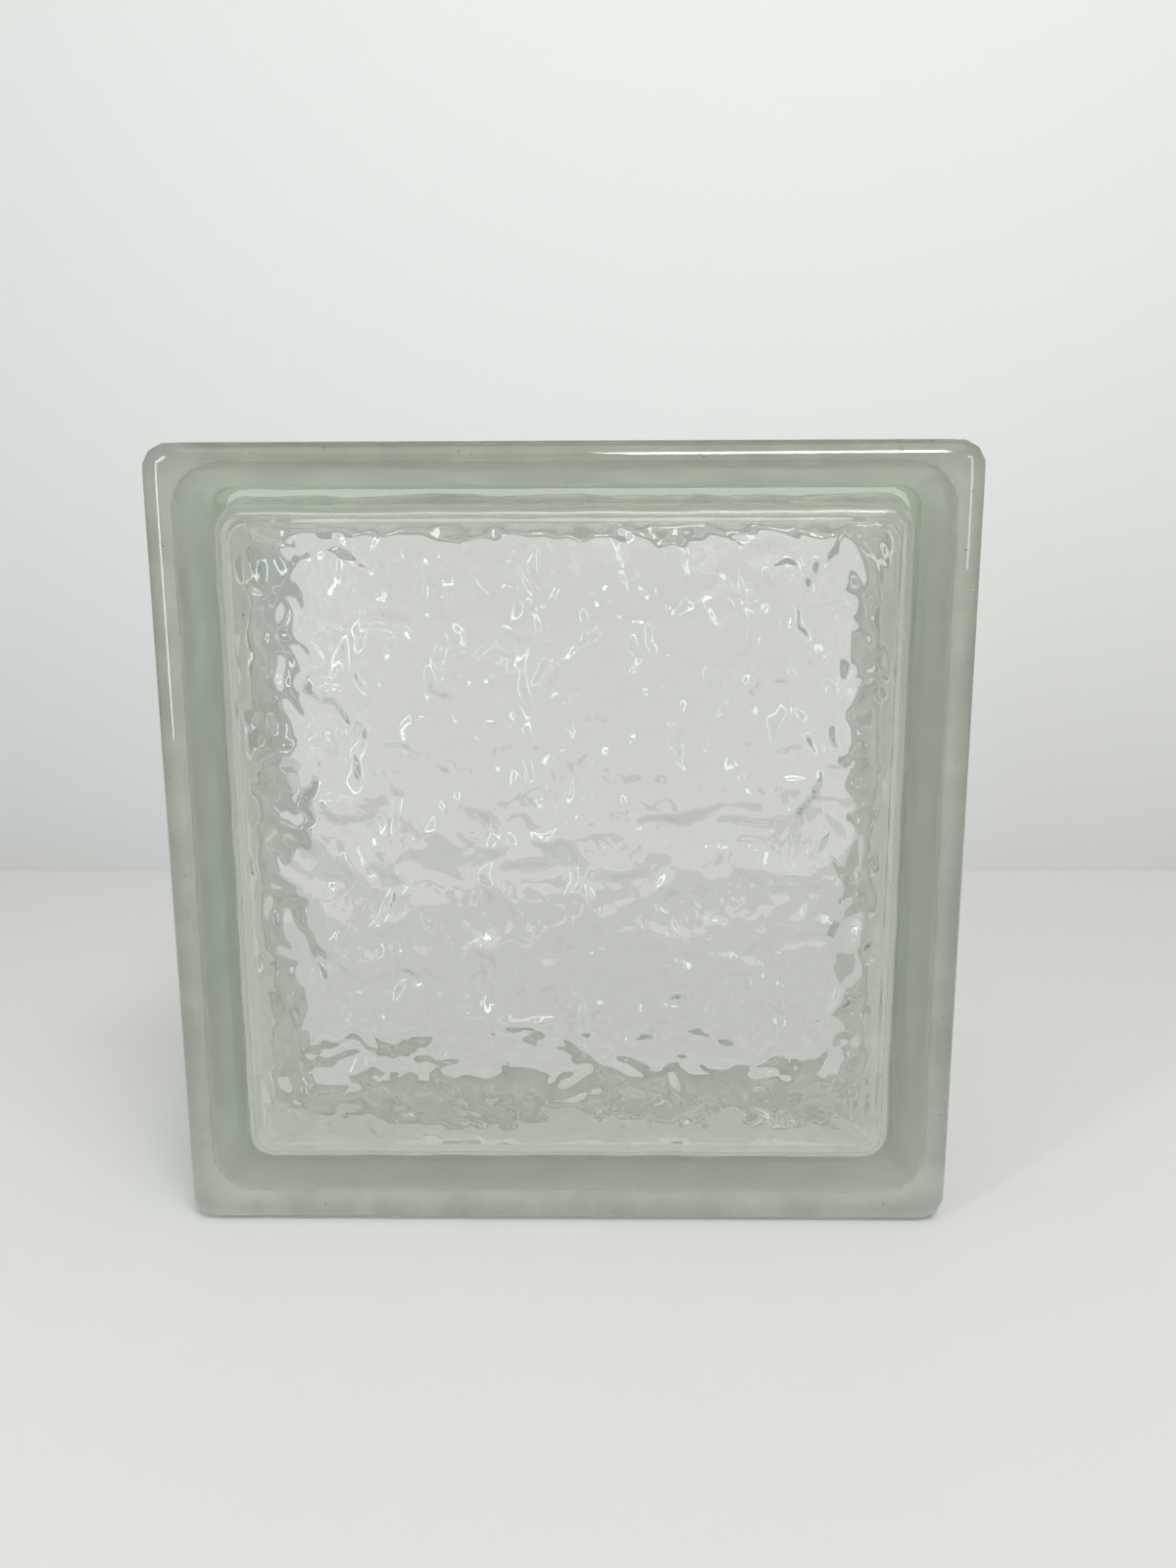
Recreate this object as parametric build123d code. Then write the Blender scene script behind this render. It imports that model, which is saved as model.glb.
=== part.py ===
from build123d import *
from math import radians, tan
import os

# Hollow glass block, standing on one edge as it stands in a wall.
# Width runs along X, depth along Y and height along Z; the front face looks towards -Y.
# The origin is at the middle of the edge it stands on. All sizes are in millimetres.

# Overall size
width = 190.0
height = 190.0
depth = 80.0

# Face plates
face_thickness = 8.0
corner_radius = 6.0
face_edge_round = 5.0

# Mortar key, the groove that runs round all four edges between the two flanges
flange_depth = 8.0
flange_height = 5.6
flange_arris = 1.0
flange_foot_bevel = 1.5
key_depth = 8.8
key_slope_run = 16.5
key_corner_radius = 9.0

# Cavity, left by a plunger that draws out towards the seam
wall_at_face = 4.7
cavity_draft = 1.0
cavity_corner_radius = 10.0
cavity_floor_blend = 9.3

# Fused seam, a low ridge inside and outside where the two rims were melted together
seam_height = 1.2
seam_width = 6.0

# Values worked out from the sizes above
half_depth = depth / 2
cavity_floor = half_depth - face_thickness
cavity_growth = cavity_floor * tan(radians(cavity_draft))
flange_back = half_depth - flange_depth
flange_foot = flange_back - flange_foot_bevel
key_root = flange_foot - key_slope_run
slope_rise = key_depth - flange_height
seam_reach = seam_width / 2
wall_inset = key_depth + wall_at_face


def outline(level, inset, radius):
    """A rounded rectangle parallel to the face, set in from the overall size."""
    with BuildSketch(Plane.XY.offset(level)) as sketch:
        RectangleRounded(width - 2 * inset, height - 2 * inset, radius)
    return sketch.sketch.face()


def key_outline(level, proud=0.0):
    """The outline of the mortar key's floor, or of what stands proud of it."""
    return outline(level, key_depth - proud, key_corner_radius + proud)


def cavity_outline(level, growth=0.0):
    """The outline of the cavity, grown by the draft or narrowed by the seam."""
    return outline(level, wall_inset - growth, cavity_corner_radius + growth)


def edges_at(part, level):
    """The edges that lie flat at one distance from the seam plane."""
    return part.edges().filter_by_position(Axis.Z, level - 0.001, level + 0.001)


def outer_body():
    """The outside of a half: flange, bevelled foot, gentle slope and the mortar key's floor."""
    flange = extrude(outline(flange_back, 0, corner_radius), flange_depth)
    flange = fillet(edges_at(flange, half_depth), face_edge_round)
    flange = chamfer(edges_at(flange, flange_back), flange_arris)
    slope_top = key_outline(flange_foot, proud=slope_rise)
    foot_top = key_outline(flange_back, proud=slope_rise + flange_foot_bevel)
    foot = loft([slope_top, foot_top], ruled=True)
    slope = loft([key_outline(key_root), slope_top], ruled=True)
    key = extrude(key_outline(0), key_root)
    return flange + foot + slope + key


def seam_ridge():
    """The outer half of the fused ridge, sloping down to the mortar key's floor."""
    return loft([key_outline(0, proud=seam_height), key_outline(seam_reach)], ruled=True)


def cavity():
    """The space inside a half: drafted walls, a blended floor and a neck at the inner ridge."""
    drafted = loft([cavity_outline(cavity_floor), cavity_outline(0, cavity_growth)], ruled=True)
    drafted = fillet(edges_at(drafted, cavity_floor), cavity_floor_blend)
    neck = loft(
        [cavity_outline(0, cavity_growth - seam_height), cavity_outline(seam_reach, cavity_growth)],
        ruled=True,
    )
    beyond_neck = extrude(outline(seam_reach, 0, corner_radius), half_depth)
    return (drafted & beyond_neck) + (drafted & neck)


def half_shell():
    """One pressed half, with its seam in the XY plane and its face pointing up +Z."""
    return outer_body() + seam_ridge() - cavity()


front_half = Pos(0, 0, height / 2) * Rot(90, 0, 0) * half_shell()
back_half = mirror(front_half, about=Plane.XZ)

os.makedirs("parts", exist_ok=True)
export_step(front_half, "parts/front_half.step")
export_step(back_half, "parts/back_half.step")
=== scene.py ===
from collections import namedtuple
import math

import bpy
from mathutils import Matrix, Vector
import numpy as np


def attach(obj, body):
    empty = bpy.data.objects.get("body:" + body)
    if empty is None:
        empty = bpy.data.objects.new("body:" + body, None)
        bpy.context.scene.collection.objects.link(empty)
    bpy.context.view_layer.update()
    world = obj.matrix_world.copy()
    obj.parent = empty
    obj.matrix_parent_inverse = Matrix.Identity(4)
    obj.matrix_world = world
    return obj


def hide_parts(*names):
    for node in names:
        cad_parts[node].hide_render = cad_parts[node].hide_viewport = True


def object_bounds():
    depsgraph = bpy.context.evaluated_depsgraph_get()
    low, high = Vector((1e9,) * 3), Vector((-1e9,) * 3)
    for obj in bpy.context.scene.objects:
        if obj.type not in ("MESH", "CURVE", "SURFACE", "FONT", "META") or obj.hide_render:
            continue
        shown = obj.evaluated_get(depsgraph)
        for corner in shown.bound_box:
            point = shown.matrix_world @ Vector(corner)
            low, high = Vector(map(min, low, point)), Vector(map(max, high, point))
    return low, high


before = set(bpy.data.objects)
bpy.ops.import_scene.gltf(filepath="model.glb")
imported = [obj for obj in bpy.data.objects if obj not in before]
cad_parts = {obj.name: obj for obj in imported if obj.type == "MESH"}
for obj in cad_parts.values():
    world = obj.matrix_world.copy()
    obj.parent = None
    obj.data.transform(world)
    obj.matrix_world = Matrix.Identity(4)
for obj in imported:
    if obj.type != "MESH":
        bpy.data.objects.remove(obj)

# Sizes of the block are in millimetres and are turned into metres when its mesh is made.
# The stage, the camera and the lamps are in metres, watts and degrees.
MM = 0.001
cad_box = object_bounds()
LOW, HIGH = (np.array(corner) / MM for corner in cad_box)
WIDTH, DEPTH, HEIGHT = HIGH - LOW
MIDDLE_Z = (LOW[2] + HIGH[2]) / 2

# Outer skin
CORNER_RADIUS = 6.0
FACE_EDGE_ROUND = 5.5
FLANGE_DEPTH = 8.0
FLANGE_HEIGHT = 5.6
FLANGE_BACK_ROUND = 1.2
FLANGE_FOOT_ROUND = 4.6
KEY_DEPTH = 8.8
KEY_SLOPE_RUN = 18.0
KEY_ROOT_BLEND = 12.0
KEY_CORNER_RADIUS = 5.0
SEAM_HEIGHT = 1.2
SEAM_REACH = 3.0
KEY_LEVEL_AT = 2.5 * SEAM_REACH

# Cavity; its ripple runs a little way up the blend between plate and wall
FACE_THICKNESS = 8.0
WALL_AT_FACE = 4.7
CAVITY_FLOOR_BLEND = 9.3
FLOOR_CORNER_RADIUS = 0.7
WALL_CORNER_RADIUS = 6.5
CAVITY_DRAFT = math.radians(3.0)
RIPPLE_ON_BLEND = 5.3

# Inside of the fused seam: a low bead with a crease on each side of it
BEAD_HEIGHT = 0.8
CREASE_DEPTH = 1.5
CREASE_WIDTH = 0.8
CREASE_AT = 2.2
CREASE_REACH = 4.0

# Ripple pressed into the plates: two warps that make the waves wander, and the waves
Wave = namedtuple("Wave", "height length")
WIDE_WARP = Wave(4.0, 15.0)
NARROW_WARP = Wave(1.6, 5.5)
SWELL = Wave(1.15, 10.0)
FOLD = Wave(0.80, 7.0)
FOLD_LEVEL = 0.3
WRINKLE = Wave(0.42, 4.4)
STROKE = Wave(0.16, 3.0)
STROKE_UPRIGHT_LENGTH = 6.0
GRAIN = Wave(0.02, 2.4)

# Border of the ripple: how far in it starts, how soon it is full and how ragged it is
RIPPLE_START = 0.6
RIPPLE_FADE = 3.0
RIPPLE_RAGGED = Wave(1.0, 5.0)
PLATE_BORDER = 0.01

# Unevenness of the walls and of the seam; the slants make it differ from depth to depth
WALL_SWAY = 0.28
CREASE_SWAY = 0.6
KEY_SWAY = 0.15
SWAY_LENGTH = 13
SWAY_SLANT_X = 0.7
SWAY_SLANT_Z = 0.5
SEAM_WANDER = 0.8
SEAM_LENGTH = 21
SEAM_SHIFT = 3

# Air bubbles in the front flange: ranges of radius, of distance in from the edge and of depth
BUBBLES = 30
BUBBLE_RADII = (0.12, 0.32)
BUBBLE_INSETS = (2.5, 4.5)
BUBBLE_DEPTHS = (3.0, 5.5)
BUBBLE_SPAN = 0.9
BUBBLE_SIDES = 8
BUBBLE_ROWS = 6
BUBBLE_CAP_TILT = 1.4
BUBBLE_CAP = ([0, 1, 2, 3], [3, 4, 5, 6], [6, 7, 0, 3])

# How matt the skin is: clear on the faces, matt in the mortar key, and matt on the flange's back
# with painted shade there, a darker tone that stands for less light
MATT = 0.6
MATT_WITH_PAINTED_SHADE = 1.0

# Mesh fineness: divisions along one side, and steps from ring to ring
CAVITY_DIVISIONS = 168
SKIN_DIVISIONS = 44
FACE_EDGE_STEPS = 10
FLANGE_BACK_STEPS = 4
FOOT_STEPS = 6
SLOPE_SHARES = (0.33, 0.67)
ROOT_STEPS = 3
SEAM_STEPS = 8
BLEND_STEPS = 7
WALL_SHARES = (0.35, 0.7)
BEAD_STEPS = 12
GRID_BEND = 6
TINY = 1e-9

# Seeds of the noise and of the bubbles; both skins share the seam's
NOISE_CELLS = 64
NOISE_GAIN = 1.5
SKIN_SEED = 30
CAVITY_SEED = 37
SEAM_SEED = 2
FRONT_RIPPLE_SEED = 11
BACK_RIPPLE_SEED = 71
RAGGED_SEED_STEP = 50
BUBBLE_SEED = 5

# Glass; the patches make the matt finish uneven, and their scale is in waves to a metre
CLEAR_TONE = (1, 1, 1)
KEY_TONE = (0.92, 0.98, 0.86)
# Painted shade: the flange's back, which faces the front lamps, is given a darker tone than the
# key
FLANGE_BACK_PAINTED_SHADE = (0.53, 0.55, 0.49)
KEY_ROUGHNESS = 0.85
KEY_TRANSMISSION = 0.85
GLASS_IOR = 1.52
GLASS_TINT = (0.66, 0.82, 0.63)
GLASS_DENSITY = 8.0
PATCH_SCALE = 90
PATCH_DETAIL = 4
PATCH_RANGE = (0.35, 0.65)
PATCH_LEAST = 0.85

# Stage; the last colour of each plane is the even tone that it has when seen in glass
Plane = namedtuple("Plane", "name size_x size_y place tilt colour in_glass")
STAGE_ROUGHNESS = 0.9
STAGE_SPECULAR = 0.1
FLOOR = Plane("floor", 6, 3.3, (0, -1.35, 0), 0, (0.68, 0.68, 0.66), (0.56, 0.565, 0.545))
BACKDROP = Plane(
    "backdrop", 0.96, 1.1, (0, 0.60, 0.04), 90, (0.84, 0.85, 0.83), (0.665, 0.67, 0.645)
)
WORLD_COLOUR = (0.90, 0.92, 0.88)
WORLD_STRENGTH = 0.43

# Lamps
Lamp = namedtuple("Lamp", "name power size_x size_y place target colour")
LAMPS = (
    Lamp("window", 2.1, 0.07, 0.74, (-0.50, -0.55, 0.40), (0, 0, 0.40), (0.78, 0.89, 1.0)),
    Lamp("ceiling", 9.0, 0.50, 0.26, (0.26, -0.80, 1.25), (0, 0, 0.19), (1.0, 0.99, 0.96)),
    Lamp("side", 2.0, 0.16, 0.60, (0.75, -0.75, 0.45), (0, 0, 0.30), (0.90, 0.96, 1.0)),
    Lamp("skylight", 4.5, 1.3, 0.9, (0.1, -0.3, 1.4), (0, 0, 0.1), (1.0, 1.0, 0.98)),
)

# Camera, worked out from the block's outline in the photograph; its lens is in millimetres
CAMERA_LENS = 27.0
CAMERA_SENSOR = 36.0
CAMERA_PLACE = (0.0089, -0.3086, 0.1637)
CAMERA_TURN = (79.193, 0.182, 0.661)

# One ring of a skin: its depth, half sizes and corner radius, how far its wall sways, how far
# it wanders with the seam, and how matt it is, past the key's matt level also how much painted
# shade it has
Row = namedtuple("Row", "y half_x half_z radius sway wander keyed")


def smoothstep(low, high, value):
    """A smooth rise from 0 to 1 between two values."""
    t = np.clip((value - low) / (high - low), 0.0, 1.0)
    return t * t * (3.0 - 2.0 * t)


class Noise:
    """Smooth gradient noise on a plane, the same on every run."""

    def __init__(self, seed):
        angles = np.random.RandomState(seed).rand(NOISE_CELLS, NOISE_CELLS) * 2 * math.pi
        self.gx = np.cos(angles)
        self.gy = np.sin(angles)

    def __call__(self, x, y):
        ix = np.floor(x).astype(int)
        iy = np.floor(y).astype(int)
        fx = x - ix
        fy = y - iy
        ux = fx * fx * fx * (fx * (fx * 6 - 15) + 10)
        uy = fy * fy * fy * (fy * (fy * 6 - 15) + 10)

        def corner(dx, dy):
            gx = self.gx[(ix + dx) % NOISE_CELLS, (iy + dy) % NOISE_CELLS]
            gy = self.gy[(ix + dx) % NOISE_CELLS, (iy + dy) % NOISE_CELLS]
            return gx * (fx - dx) + gy * (fy - dy)

        low = corner(0, 0) * (1 - ux) + corner(1, 0) * ux
        high = corner(0, 1) * (1 - ux) + corner(1, 1) * ux
        return (low * (1 - uy) + high * uy) * NOISE_GAIN


def relief(x, y, seed):
    """Height of the pressed ripple at points of a face plate."""
    wide, narrow, swell, fold, wrinkle, stroke, grain = (Noise(seed + i) for i in range(7))

    def warped(along, across, wide_shift, narrow_shift):
        """A coordinate moved to and fro by both warps."""
        far = WIDE_WARP.length
        near = NARROW_WARP.length
        moved = along + WIDE_WARP.height * wide(along / far + wide_shift, across / far)
        return moved + NARROW_WARP.height * narrow(along / near + narrow_shift, across / near)

    wx = warped(x, y, 0, 0)
    wy = warped(y, x, 9, 5)
    height = SWELL.height * swell(wx / SWELL.length, wy / SWELL.length)
    height += FOLD.height * (FOLD_LEVEL - np.abs(fold(wx / FOLD.length, wy / FOLD.length)))
    height += WRINKLE.height * np.abs(wrinkle(wx / WRINKLE.length, wy / WRINKLE.length))
    height += STROKE.height * stroke(wx / STROKE.length, wy / STROKE_UPRIGHT_LENGTH)
    height += GRAIN.height * grain(x / GRAIN.length, y / GRAIN.length)
    return height


def rounded_side(t, half_along, radius):
    """How far along a rounded rectangle's side its points lie, and how far its corners pull in."""
    reach = np.abs(t) * half_along
    straight = half_along - radius
    angle = np.clip(reach - straight, 0, radius) / radius * math.pi / 4
    along = np.sign(t) * (np.minimum(reach, straight) + radius * np.sin(angle))
    return along, radius * (1 - np.cos(angle))


def ring(half_x, half_z, radius, divisions):
    """Points of a rounded rectangle, from the low corner and anticlockwise seen from the front."""
    t = np.linspace(-1, 1, divisions + 1)[:-1]
    along_x, pulled_z = rounded_side(t, half_x, radius)
    along_z, pulled_x = rounded_side(t, half_z, radius)
    x = np.concatenate([along_x, half_x - pulled_x, -along_x, -half_x + pulled_x])
    z = np.concatenate([-half_z + pulled_z, along_z, half_z - pulled_z, -along_z])
    return x, z


def swaying_ring(row, divisions, wall_noise, seam_noise):
    """The points of one row, with the unevenness of its wall and of the seam."""
    x, z = ring(row.half_x, row.half_z, row.radius, divisions)
    wider_x, wider_z = ring(row.half_x + 1, row.half_z + 1, row.radius + 1, divisions)
    y = row.y + row.wander * seam_noise(x / SEAM_LENGTH + SEAM_SHIFT, z / SEAM_LENGTH)
    slanted_x = (x + SWAY_SLANT_X * y) / SWAY_LENGTH
    slanted_z = (z - SWAY_SLANT_Z * y) / SWAY_LENGTH
    sway = row.sway * wall_noise(slanted_x, slanted_z)
    return x + (wider_x - x) * sway, y, z + (wider_z - z) * sway


def border_indices(n):
    """Grid indices of the border, in the ring's order."""
    steps = np.arange(n)
    i = np.concatenate([steps, np.full(n, n), n - steps, np.zeros(n, int)])
    j = np.concatenate([np.zeros(n, int), steps, np.full(n, n), n - steps])
    return i, j


def plate_grid(row, divisions):
    """A square grid that bends at its corners to end in the ring of that row."""
    t = np.linspace(-1, 1, divisions + 1)
    u, v = np.meshgrid(t, t, indexing="ij")
    out = np.maximum(np.maximum(np.abs(u), np.abs(v)), TINY)
    along_x, pulled_z = rounded_side(u / out, row.half_x, row.radius)
    along_z, pulled_x = rounded_side(v / out, row.half_z, row.radius)
    upright = np.abs(v) >= np.abs(u)
    bent_x = np.where(upright, along_x, np.sign(u) * (row.half_x - pulled_x)) * out
    bent_z = np.where(upright, np.sign(v) * (row.half_z - pulled_z), along_z) * out
    share = out ** GRID_BEND
    x = u * row.half_x * (1 - share) + bent_x * share
    z = v * row.half_z * (1 - share) + bent_z * share
    return x, z


def plate_points(row, divisions, height, inwards):
    """Points of a plate's side, whose relief stands towards +Y or -Y."""
    x, z = plate_grid(row, divisions)
    return np.stack([x, row.y + inwards * height(x, z), z], -1).reshape(-1, 3)


def ring_quads(near, far):
    """Quads between two rings of as many points."""
    return np.stack([near, np.roll(near, -1), np.roll(far, -1), far], -1)[:, ::-1]


def closed_skin(profile, divisions, front_height, back_height, wall_seed):
    """A closed surface: a gridded plate, the profile's rings, and the plate opposite.

    Returns its points, its quads and how matt each point is, with the painted shade of the
    flange's back.
    """
    n = divisions
    wall_noise = Noise(wall_seed)
    seam_noise = Noise(SEAM_SEED)
    index = np.arange((n + 1) ** 2).reshape(n + 1, n + 1)
    clear = np.zeros(index.size)
    cells = np.stack([index[:-1, :-1], index[1:, :-1], index[1:, 1:], index[:-1, 1:]], -1)
    points = [plate_points(profile[0], n, front_height, 1)]
    quads = [cells.reshape(-1, 4)]
    keyed = [clear]
    previous = index[border_indices(n)]
    count = index.size
    for row in profile[1:-1]:
        points.append(np.stack(swaying_ring(row, n, wall_noise, seam_noise), -1))
        keyed.append(np.full(4 * n, row.keyed))
        current = count + np.arange(4 * n)
        quads.append(ring_quads(previous, current))
        previous = current
        count += 4 * n
    points.append(plate_points(profile[-1], n, back_height, -1))
    keyed.append(clear)
    index = index + count
    quads.append(ring_quads(previous, index[border_indices(n)]))
    cells = np.stack([index[:-1, :-1], index[:-1, 1:], index[1:, 1:], index[1:, :-1]], -1)
    quads.append(cells.reshape(-1, 4))
    return np.concatenate(points), np.concatenate(quads), np.concatenate(keyed)


def mirrored(rows):
    """The rows of the front half, the seam's rows and the front half's rows turned round."""
    front = [row for row in rows if row.wander == 0]
    return rows + [row._replace(y=-row.y) for row in front[::-1]]


def rounded_corner(before, corner, after, radius, steps):
    """Points of the arc that rounds one corner of a profile, from one side to the other."""
    before = np.array(before)
    corner = np.array(corner)
    after = np.array(after)
    ahead = (corner - before) / np.linalg.norm(corner - before)
    out = (after - corner) / np.linalg.norm(after - corner)
    turn = math.acos(ahead @ out)
    across = (out - ahead * (ahead @ out)) / math.sin(turn)
    centre = corner - ahead * radius * math.tan(turn / 2) + across * radius
    angles = np.linspace(0, turn, steps + 1)
    return [centre + radius * (ahead * math.sin(a) - across * math.cos(a)) for a in angles]


def outer_profile():
    """The outside, from the front face's flat to the back face's flat."""
    face = -DEPTH / 2
    face_border = (face, FACE_EDGE_ROUND)
    face_edge = (face, 0.0)
    flange_back = (face + FLANGE_DEPTH, 0.0)
    flange_foot = (face + FLANGE_DEPTH, FLANGE_HEIGHT)
    key_root = (face + FLANGE_DEPTH + KEY_SLOPE_RUN, KEY_DEPTH)
    seam_foot = (-SEAM_REACH, KEY_DEPTH)
    foot_radius = KEY_CORNER_RADIUS + KEY_DEPTH - FLANGE_HEIGHT
    rows = []

    def add(y, inset, radius, sway=0.0, wander=0.0, keyed=0.0):
        rows.append(Row(y, WIDTH / 2 - inset, HEIGHT / 2 - inset, radius, sway, wander, keyed))

    def add_key(y, inset, keyed=MATT):
        risen = min(inset / FLANGE_HEIGHT, 1.0)
        radius = CORNER_RADIUS + (foot_radius - CORNER_RADIUS) * risen
        radius -= max(inset - FLANGE_HEIGHT, 0.0)
        add(y, inset, radius, KEY_SWAY * inset / KEY_DEPTH, 0.0, keyed)

    edge = rounded_corner(face_border, face_edge, flange_back, FACE_EDGE_ROUND, FACE_EDGE_STEPS)
    back = rounded_corner(
        face_edge, flange_back, flange_foot, FLANGE_BACK_ROUND, FLANGE_BACK_STEPS
    )
    foot = rounded_corner(flange_back, flange_foot, key_root, FLANGE_FOOT_ROUND, FOOT_STEPS)
    root = rounded_corner(flange_foot, key_root, seam_foot, KEY_ROOT_BLEND, ROOT_STEPS)
    slope = [foot[-1] * (1 - share) + root[0] * share for share in SLOPE_SHARES]
    for y, inset in edge:
        add(y, inset, CORNER_RADIUS - inset)
    # The flange's back climbs to full painted shade, a darker tone; the foot goes back to the
    # key's matt
    for step, point in enumerate(back):
        add_key(*point, keyed=MATT_WITH_PAINTED_SHADE * step / FLANGE_BACK_STEPS)
    for step, point in enumerate(foot):
        add_key(*point, keyed=MATT_WITH_PAINTED_SHADE + (MATT - MATT_WITH_PAINTED_SHADE) * step / FOOT_STEPS)
    for point in slope + root:
        add_key(*point)
    add_key(-KEY_LEVEL_AT, KEY_DEPTH)
    for step in np.linspace(-1, 1, SEAM_STEPS + 1):
        bump = SEAM_HEIGHT * (0.5 + 0.5 * math.cos(step * math.pi))
        radius = KEY_CORNER_RADIUS + bump
        add(step * SEAM_REACH, KEY_DEPTH - bump, radius, KEY_SWAY, SEAM_WANDER, MATT)
    return mirrored(rows)


def inner_profile():
    """The cavity, from the front plate's flat to the back plate's flat."""
    floor = DEPTH / 2 - FACE_THICKNESS
    blend = CAVITY_FLOOR_BLEND
    wall = KEY_DEPTH + WALL_AT_FACE
    rows = []

    def add(y, inset, sway, wander=0.0):
        half_x = WIDTH / 2 - wall - inset
        half_z = HEIGHT / 2 - wall - inset
        climbed = 1 - max(inset, 0) / blend
        radius = FLOOR_CORNER_RADIUS + (WALL_CORNER_RADIUS - FLOOR_CORNER_RADIUS) * climbed
        rows.append(Row(y, half_x, half_z, radius, sway, wander, 0.0))

    first = math.asin(RIPPLE_ON_BLEND / blend)
    for angle in np.linspace(first, math.pi / 2, BLEND_STEPS + 1):
        share = math.sin(angle)
        add(-floor + blend * (1 - math.cos(angle)), blend * (1 - share), WALL_SWAY * share)
    for share in WALL_SHARES:
        down = (floor - blend - CREASE_REACH) * share
        add(-floor + blend + down, -down * math.tan(CAVITY_DRAFT), WALL_SWAY)
    growth = (floor - blend) * math.tan(CAVITY_DRAFT)
    for y in np.linspace(-CREASE_REACH, CREASE_REACH, BEAD_STEPS + 1):
        bead = BEAD_HEIGHT * math.exp(-((y / CREASE_WIDTH) ** 2))
        crease = CREASE_DEPTH * math.exp(-(((abs(y) - CREASE_AT) / CREASE_WIDTH) ** 2))
        add(y, bead - crease - growth, CREASE_SWAY, SEAM_WANDER)
    return mirrored(rows)


def plate_relief(seed):
    """The plate's inner side: its ripple, and the start of the blend round its flat."""
    ragged = Noise(seed + RAGGED_SEED_STEP)
    border = KEY_DEPTH + WALL_AT_FACE + CAVITY_FLOOR_BLEND
    corner = FLOOR_CORNER_RADIUS

    def height(x, z):
        past_x = np.abs(x) - (WIDTH / 2 - border - corner)
        past_z = np.abs(z) - (HEIGHT / 2 - border - corner)
        past = np.hypot(np.maximum(past_x, 0), np.maximum(past_z, 0)) - corner
        past = np.where(np.maximum(past_x, past_z) > 0, past, np.maximum(past_x, past_z) - corner)
        climb = np.clip(past, 0, RIPPLE_ON_BLEND)
        blend = CAVITY_FLOOR_BLEND - np.sqrt(CAVITY_FLOOR_BLEND ** 2 - climb ** 2)
        inside = RIPPLE_ON_BLEND - past
        uneven = ragged(x / RIPPLE_RAGGED.length, z / RIPPLE_RAGGED.length)
        start = inside - RIPPLE_START + RIPPLE_RAGGED.height * uneven
        fade = smoothstep(0.0, RIPPLE_FADE, start)
        return blend + relief(x, z, seed) * fade * (inside > PLATE_BORDER)

    return height


def flat(x, z):
    """No relief at all."""
    return np.zeros_like(x)


def bubble(centre, radius):
    """Points and quads of one small air bubble, whose skin faces into the air."""
    around = np.arange(BUBBLE_SIDES) * math.pi / 4
    up = np.linspace(-BUBBLE_CAP_TILT, BUBBLE_CAP_TILT, BUBBLE_ROWS)
    angle, tilt = np.meshgrid(around, up)
    ball = np.stack([np.cos(tilt) * np.cos(angle), np.cos(tilt) * np.sin(angle), np.sin(tilt)], -1)
    index = np.arange(BUBBLE_SIDES * BUBBLE_ROWS).reshape(BUBBLE_ROWS, BUBBLE_SIDES)
    beside = np.roll(index, -1, axis=1)
    walls = np.stack([index[:-1], index[1:], beside[1:], beside[:-1]], -1).reshape(-1, 4)
    caps = []
    for corners in BUBBLE_CAP:
        caps.append(index[0, corners])
        caps.append(index[-1, corners[::-1]])
    return centre + radius * ball.reshape(-1, 3), np.concatenate([walls, np.array(caps)])


def bubbles(count, seed):
    """Small air bubbles in the front flange, away from every surface."""
    draw = np.random.RandomState(seed)
    points = []
    quads = []
    for number in range(count):
        along = draw.uniform(-BUBBLE_SPAN, BUBBLE_SPAN) * WIDTH / 2
        out = WIDTH / 2 - draw.uniform(*BUBBLE_INSETS)
        side = draw.randint(4)
        x, z = ((along, out), (along, -out), (out, along), (-out, along))[side]
        y = -DEPTH / 2 + draw.uniform(*BUBBLE_DEPTHS)
        ball, faces = bubble(np.array([x, y, z]), draw.uniform(*BUBBLE_RADII))
        points.append(ball)
        quads.append(faces + len(ball) * number)
    return np.concatenate(points), np.concatenate(quads)


def glass_mesh():
    """The whole block as one closed glass body with its cavity."""
    skin = closed_skin(outer_profile(), SKIN_DIVISIONS, flat, flat, SKIN_SEED)
    front = plate_relief(FRONT_RIPPLE_SEED)
    back = plate_relief(BACK_RIPPLE_SEED)
    cave = closed_skin(inner_profile(), CAVITY_DIVISIONS, front, back, CAVITY_SEED)
    air = bubbles(BUBBLES, BUBBLE_SEED)
    points = np.concatenate([skin[0], cave[0], air[0]])
    points[:, 2] += MIDDLE_Z
    cave_quads = cave[1][:, ::-1] + len(skin[0])
    air_quads = air[1] + len(skin[0]) + len(cave[0])
    quads = np.concatenate([skin[1], cave_quads, air_quads])
    mesh = bpy.data.meshes.new("glass_body")
    mesh.vertices.add(len(points))
    mesh.vertices.foreach_set("co", (points * MM).ravel())
    mesh.loops.add(quads.size)
    mesh.loops.foreach_set("vertex_index", quads.ravel())
    mesh.polygons.add(len(quads))
    mesh.polygons.foreach_set("loop_start", np.arange(len(quads)) * 4)
    mesh.polygons.foreach_set("loop_total", np.full(len(quads), 4))
    mesh.update(calc_edges=True)
    mesh.validate()
    mesh.shade_smooth()
    none = np.zeros(len(air[0]))
    keyed = mesh.attributes.new("keyed", "FLOAT", "POINT")
    keyed.data.foreach_set("value", np.concatenate([skin[2], cave[2], none]))
    return mesh


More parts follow.
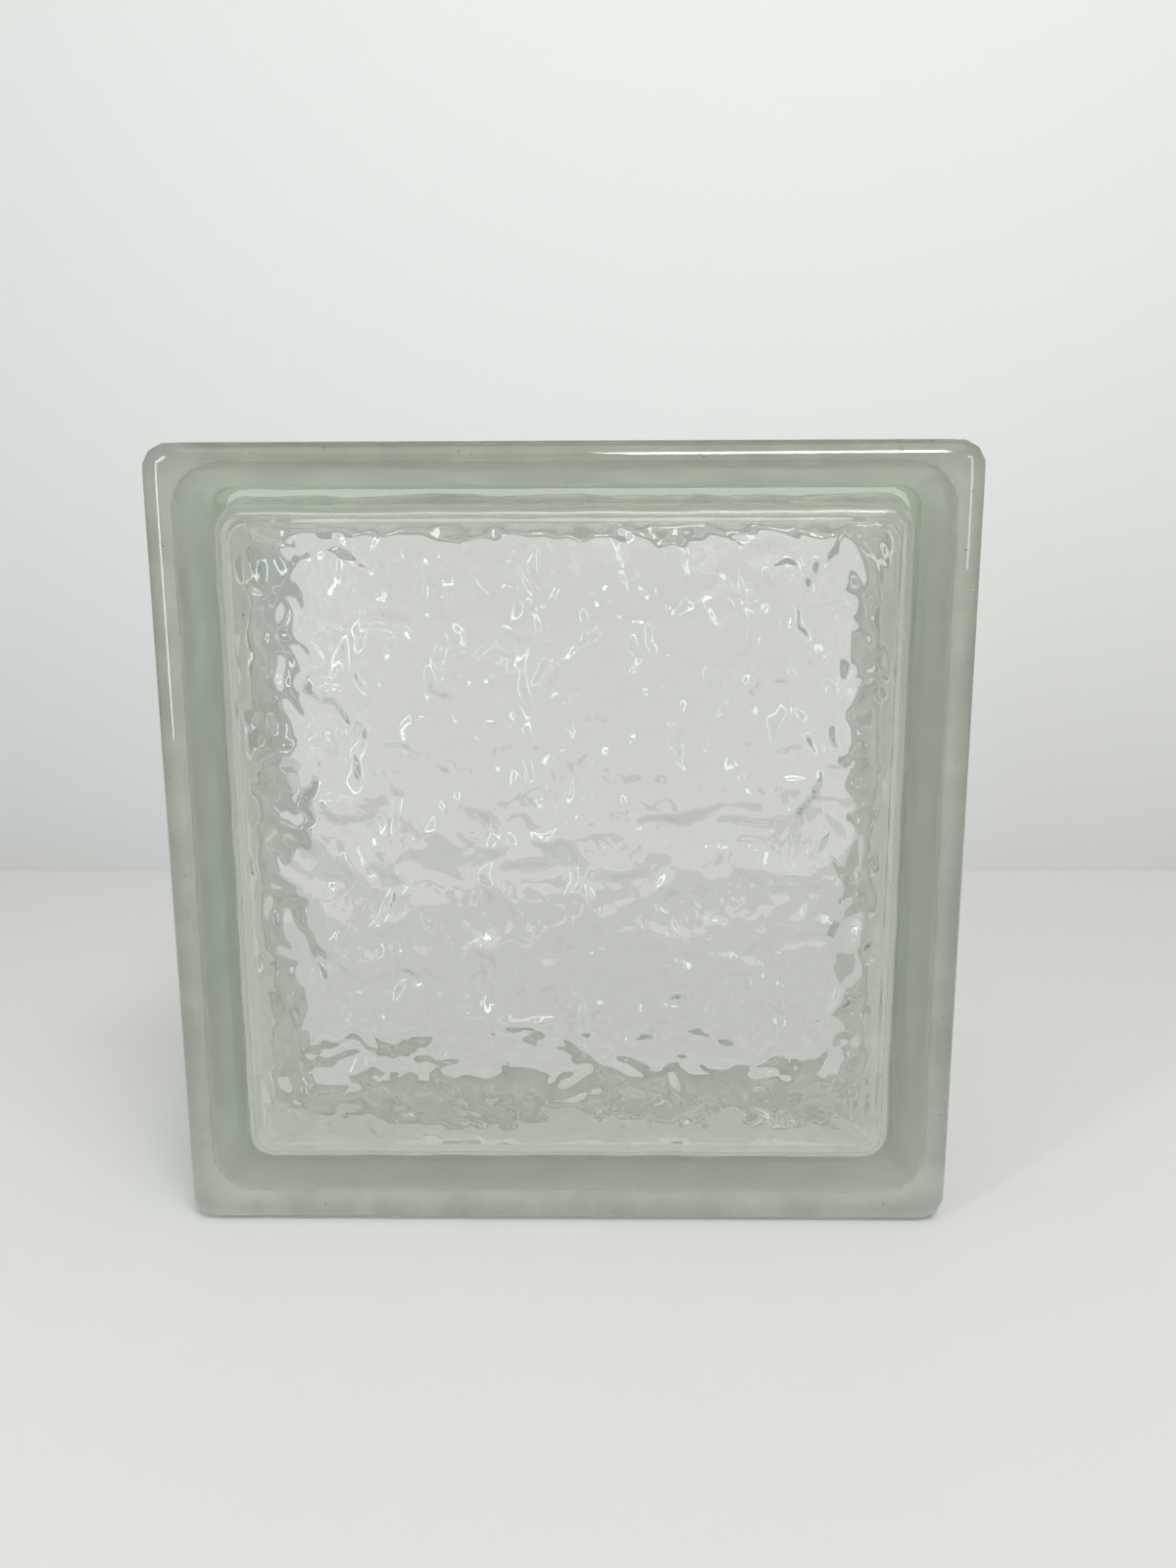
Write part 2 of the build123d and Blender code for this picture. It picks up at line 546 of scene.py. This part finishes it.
class Shading:
    """Short calls for the nodes of one material."""

    def __init__(self, name):
        self.material = bpy.data.materials.new(name)
        self.material.use_nodes = True
        self.nodes = self.material.node_tree.nodes
        self.links = self.material.node_tree.links
        self.shader = self.nodes["Principled BSDF"]
        self.output = self.nodes["Material Output"]

    def attribute(self, name):
        """A value that the mesh holds at its points."""
        node = self.nodes.new("ShaderNodeAttribute")
        node.attribute_name = name
        return node.outputs["Fac"]

    def noise(self, scale, detail):
        """Noise in object space, whose scale is in waves to a metre."""
        node = self.nodes.new("ShaderNodeTexNoise")
        node.inputs["Scale"].default_value = scale
        node.inputs["Detail"].default_value = detail
        place = self.nodes.new("ShaderNodeTexCoord")
        self.links.new(place.outputs["Object"], node.inputs["Vector"])
        return node.outputs["Fac"]

    def spread(self, value, low, high, low_out, high_out):
        """A value moved from one range to another, held at its ends."""
        node = self.nodes.new("ShaderNodeMapRange")
        self.links.new(value, node.inputs["Value"])
        for name, number in (
            ("From Min", low), ("From Max", high), ("To Min", low_out), ("To Max", high_out),
        ):
            node.inputs[name].default_value = number
        return node.outputs["Result"]

    def times(self, a, b):
        """The product of two values."""
        node = self.nodes.new("ShaderNodeMath")
        node.operation = "MULTIPLY"
        self.links.new(a, node.inputs[0])
        self.links.new(b, node.inputs[1])
        return node.outputs["Value"]

    def ramp(self, value, stops):
        """A colour that runs through a list of places and colours."""
        node = self.nodes.new("ShaderNodeValToRGB")
        self.links.new(value, node.inputs["Fac"])
        elements = node.color_ramp.elements
        while len(elements) < len(stops):
            elements.new(1.0)
        for element, (place, colour) in zip(elements, stops):
            element.position = place
            element.color = (*colour, 1)
        return node.outputs["Color"]

    def feed(self, value, socket):
        """Links a value to one of the shader's sockets."""
        self.links.new(value, self.shader.inputs[socket])


def glass_material():
    """Pale green glass, clear on its faces and matt on the mortar key, with painted shade on the
    flange's back.
    """
    look = Shading("pressed_glass")
    noise = look.noise(PATCH_SCALE, PATCH_DETAIL)
    patches = look.spread(noise, *PATCH_RANGE, PATCH_LEAST, 1.0)
    matt_and_shade_level = look.times(look.attribute("keyed"), patches)
    # Painted shade: the flange's back takes a darker tone than the key
    tones = ((0, CLEAR_TONE), (MATT, KEY_TONE), (MATT_WITH_PAINTED_SHADE, FLANGE_BACK_PAINTED_SHADE))
    look.feed(look.ramp(matt_and_shade_level, tones), "Base Color")
    look.feed(look.spread(matt_and_shade_level, 0, MATT, 0, KEY_ROUGHNESS), "Roughness")
    look.feed(look.spread(matt_and_shade_level, 0, MATT, 1, KEY_TRANSMISSION), "Transmission Weight")
    look.shader.inputs["IOR"].default_value = GLASS_IOR
    absorption = look.nodes.new("ShaderNodeVolumeAbsorption")
    absorption.inputs["Color"].default_value = (*GLASS_TINT, 1)
    absorption.inputs["Density"].default_value = GLASS_DENSITY
    look.links.new(absorption.outputs["Volume"], look.output.inputs["Volume"])
    return look.material


def plain_material(name, colour, in_glass):
    """A matt surface of one colour, which has another, even tone when it is seen in glass."""
    look = Shading(name)
    look.shader.inputs["Base Color"].default_value = (*colour, 1)
    look.shader.inputs["Roughness"].default_value = STAGE_ROUGHNESS
    look.shader.inputs["Specular IOR Level"].default_value = STAGE_SPECULAR
    path = look.nodes.new("ShaderNodeLightPath")
    either = look.nodes.new("ShaderNodeMath")
    either.operation = "MAXIMUM"
    look.links.new(path.outputs["Is Glossy Ray"], either.inputs[0])
    look.links.new(path.outputs["Is Transmission Ray"], either.inputs[1])
    pale = look.nodes.new("ShaderNodeEmission")
    pale.inputs["Color"].default_value = (*in_glass, 1)
    mix = look.nodes.new("ShaderNodeMixShader")
    look.links.new(either.outputs["Value"], mix.inputs["Fac"])
    look.links.new(look.shader.outputs["BSDF"], mix.inputs[1])
    look.links.new(pale.outputs["Emission"], mix.inputs[2])
    look.links.new(mix.outputs["Shader"], look.output.inputs["Surface"])
    return look.material


def add_plane(plane):
    """A flat rectangle of the stage, tilted up from the floor."""
    mesh = bpy.data.meshes.new(plane.name)
    x = plane.size_x / 2
    y = plane.size_y / 2
    mesh.from_pydata([(-x, -y, 0), (x, -y, 0), (x, y, 0), (-x, y, 0)], [], [(0, 1, 2, 3)])
    mesh.materials.append(plain_material(plane.name, plane.colour, plane.in_glass))
    stage = bpy.data.objects.new(plane.name, mesh)
    stage.location = plane.place
    stage.rotation_euler = (math.radians(plane.tilt), 0, 0)
    bpy.context.scene.collection.objects.link(stage)


def add_camera():
    """The camera where the photograph was taken from."""
    data = bpy.data.cameras.new("camera")
    data.lens = CAMERA_LENS
    data.sensor_width = CAMERA_SENSOR
    camera = bpy.data.objects.new("camera", data)
    camera.location = CAMERA_PLACE
    camera.rotation_euler = [math.radians(angle) for angle in CAMERA_TURN]
    bpy.context.scene.collection.objects.link(camera)
    bpy.context.scene.camera = camera


def add_lamp(lamp):
    """A soft rectangular lamp that faces a point."""
    data = bpy.data.lights.new(lamp.name, "AREA")
    data.shape = "RECTANGLE"
    data.size = lamp.size_x
    data.size_y = lamp.size_y
    data.energy = lamp.power
    data.color = lamp.colour
    light = bpy.data.objects.new(lamp.name, data)
    light.location = lamp.place
    aim = Vector(lamp.target) - Vector(lamp.place)
    light.rotation_euler = aim.to_track_quat("-Z", "Y").to_euler()
    bpy.context.scene.collection.objects.link(light)


def add_surroundings():
    """A pale floor and backdrop, a dim even world and soft lamps."""
    add_plane(FLOOR)
    add_plane(BACKDROP)
    world = bpy.data.worlds.new("world")
    bpy.context.scene.world = world
    world.use_nodes = True
    background = world.node_tree.nodes["Background"]
    background.inputs["Color"].default_value = (*WORLD_COLOUR, 1)
    background.inputs["Strength"].default_value = WORLD_STRENGTH
    for lamp in LAMPS:
        add_lamp(lamp)


def build_block():
    """The visible glass body, in place of the plain solids of the two halves."""
    block = bpy.data.objects.new("glass_body", glass_mesh())
    bpy.context.scene.collection.objects.link(block)
    block.data.materials.append(glass_material())
    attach(block, "root")
    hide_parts("front_half", "back_half")


bpy.context.scene.view_settings.view_transform = "Standard"
add_camera()
add_surroundings()
build_block()
